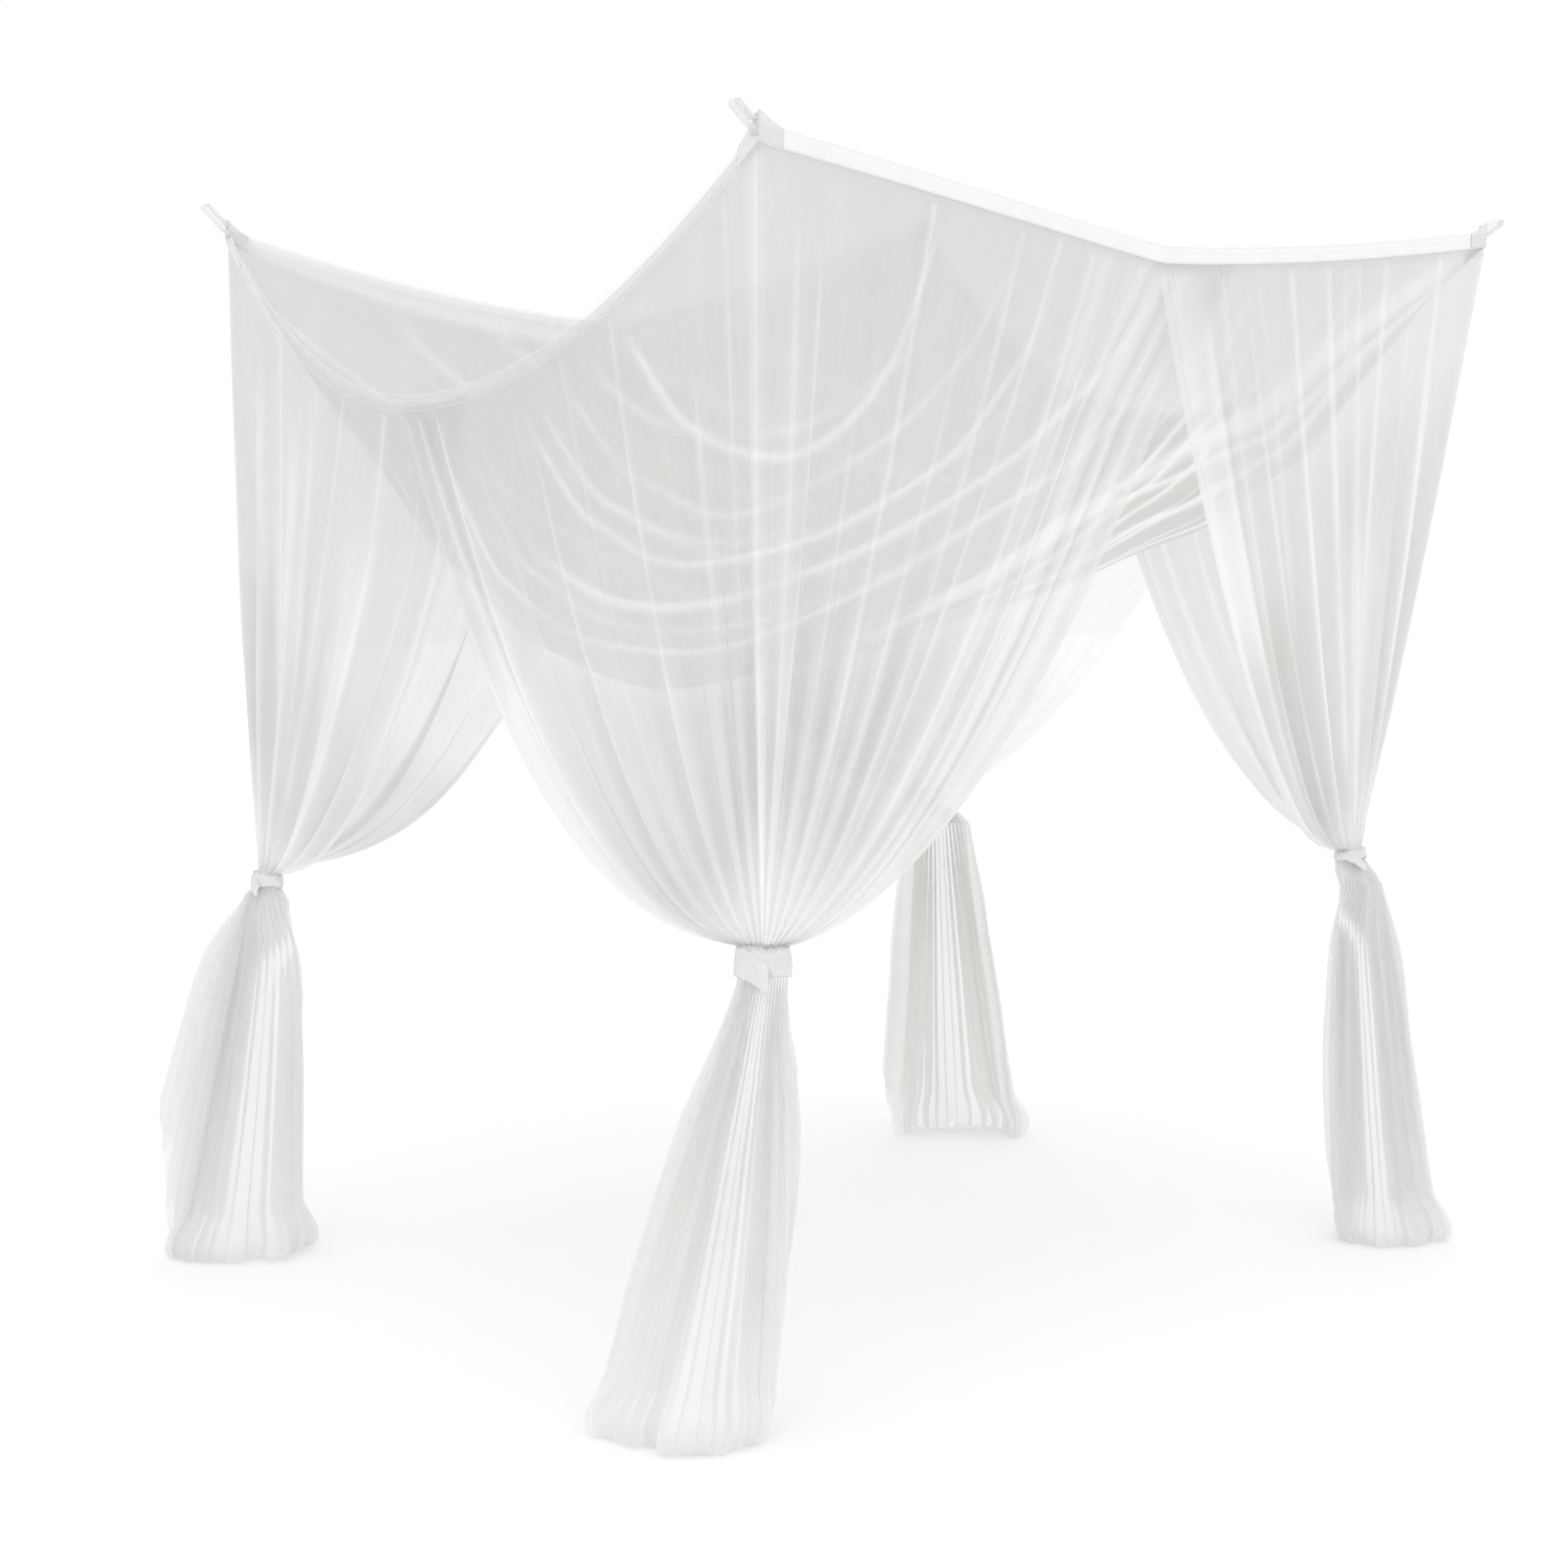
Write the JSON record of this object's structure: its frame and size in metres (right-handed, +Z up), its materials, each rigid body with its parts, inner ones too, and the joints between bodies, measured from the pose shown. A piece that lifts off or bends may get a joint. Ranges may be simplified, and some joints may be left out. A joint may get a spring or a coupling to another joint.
{
  "type": "mosquito net canopy",
  "caption": "White mesh bed canopy hung from its corner loops, with a bellied roof and corner curtains tied in and trailing to the floor",
  "frame": {"origin": "the eye of the near corner's hanging loop, where its hook bears", "axes": "+X along the bed's long side away from the near corner, +Y along its short side, +Z up"},
  "size_m": [2.3023, 1.9161, 2.4319],
  "materials": {
    "white_mesh": "matte",
    "white_tape": "matte"
  },
  "bodies": {
    "root": {"roof_net": "white_mesh", "heading_tape_near_right": "white_tape", "heading_tape_far_right": "white_tape", "heading_tape_far_left": "white_tape", "heading_tape_near_left": "white_tape", "curtain_near": "white_mesh", "curtain_right": "white_mesh", "curtain_far": "white_mesh", "curtain_left": "white_mesh", "corner_patch_near": "white_mesh", "corner_patch_right": "white_mesh", "corner_patch_far": "white_mesh", "corner_patch_left": "white_mesh", "loop_near": "white_tape", "loop_right": "white_tape", "loop_far": "white_tape", "loop_left": "white_tape", "tie_near": "white_tape", "tie_right": "white_tape", "tie_far": "white_tape", "tie_left": "white_tape"}
  },
  "joints": []
}
